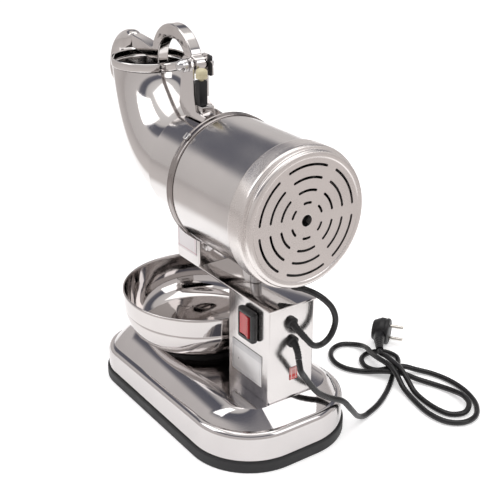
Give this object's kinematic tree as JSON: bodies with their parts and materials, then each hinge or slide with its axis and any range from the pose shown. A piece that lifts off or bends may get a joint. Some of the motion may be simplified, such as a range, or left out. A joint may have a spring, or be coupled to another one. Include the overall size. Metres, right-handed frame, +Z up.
{
  "type": "shaved ice machine",
  "caption": "Countertop ice shaver: bent hopper with a hinged pusher lever over a motor-driven blade disc, chute, steel bowl and pressed base.",
  "frame": {"origin": "on the surface it stands on, under the centre of the base's bounding box, measured without the mains cord and plug", "axes": "+Z up, -Y towards the hopper, grip and bowl, +Y towards the vented end of the motor, +X towards the mains switch"},
  "size_m": [0.3852, 0.4921, 0.4625],
  "materials": {
    "polished": "polished stainless steel",
    "brushed": "lightly brushed stainless steel",
    "cast": "polished cast aluminium",
    "bell": "raw cast aluminium",
    "hard_steel": "ground steel",
    "laminated": "varnished steel laminations",
    "skirt_rubber": "matt black rubber",
    "black_rubber": "semi-gloss black rubber",
    "black_plastic": "black plastic",
    "red_plastic": "red translucent plastic",
    "cream_plastic": "cream plastic",
    "foil": "silver foil plate",
    "label": "white label film",
    "tag": "red tag film",
    "nickel": "nickel-plated brass"
  },
  "bodies": {
    "frame": {"base_shell": "polished", "base_skirt": "skirt_rubber", "bottom_cover": "brushed", "column_box": "polished", "top_plate": "polished", "support_post": "brushed", "run_capacitor": "brushed", "rating_plate": "foil", "inspection_tag": "tag", "switch_bezel": "black_plastic", "motor_housing": "brushed", "front_clamp_band": "polished", "band_screw": "polished", "rear_end_cap": "brushed", "front_bell": "bell", "front_bearing": "hard_steel", "rear_bell": "bell", "rear_bearing": "hard_steel", "stator": "laminated", "blade_chamber": "polished", "ice_chute": "polished", "chute_plate": "label", "chute_nut": "brushed", "elbow_hopper": "polished", "mouth_rim": "polished", "hinge_bracket": "polished", "hinge_bolt": "polished", "bolt_head": "polished", "acorn_nut": "polished", "hinge_spacer_left": "polished", "hinge_spacer_right": "polished", "micro_switch": "black_rubber", "switch_stand": "polished", "lever_stop": "black_rubber", "stop_screw": "brushed", "lead_strain_relief": "black_rubber", "mains_strain_relief": "black_rubber", "motor_gland": "black_rubber", "motor_lead": "black_rubber", "mains_cord": "black_rubber", "plug_body": "black_rubber", "plug_pin_1": "nickel", "plug_pin_2": "nickel"},
    "drive": {"motor_shaft": "hard_steel", "rotor": "laminated", "cooling_fan": "black_plastic", "blade_disc": "polished", "blade_1": "hard_steel", "blade_2": "hard_steel", "blade_3": "hard_steel", "disc_nut": "brushed"},
    "lever": {"pusher_lever": "cast", "lever_grip": "cast", "pusher_arm": "cast", "pusher_plate": "brushed", "pusher_screw": "brushed"},
    "rocker": {"rocker": "red_plastic"},
    "plunger": {"switch_plunger": "cream_plastic"},
    "bowl": {"bowl": "polished", "bowl_foot": "skirt_rubber"}
  },
  "joints": [
    {"name": "drive_spin", "type": "hinge", "parent": "frame", "child": "drive", "pos_m": [0, 0, 0.3007], "axis": [0, 1, 0], "continuous": true},
    {"name": "lever_hinge", "type": "hinge", "parent": "frame", "child": "lever", "pos_m": [0, -0.006, 0.424], "axis": [-1, 0, 0], "range_deg": [0, 85]},
    {"name": "rocker_tilt", "type": "hinge", "parent": "frame", "child": "rocker", "pos_m": [0.034, 0.152, 0.163], "axis": [0, 0, 1], "range_deg": [0, 14]},
    {"name": "plunger_press", "type": "slide", "parent": "frame", "child": "plunger", "axis": [0, 0, -1], "range_m": [0, 0.002], "stiffness_N_per_m": 300},
    {"name": "bowl_lift", "type": "slide", "parent": "frame", "child": "bowl", "axis": [0, 0, 1], "range_m": [0, 0.045]}
  ]
}
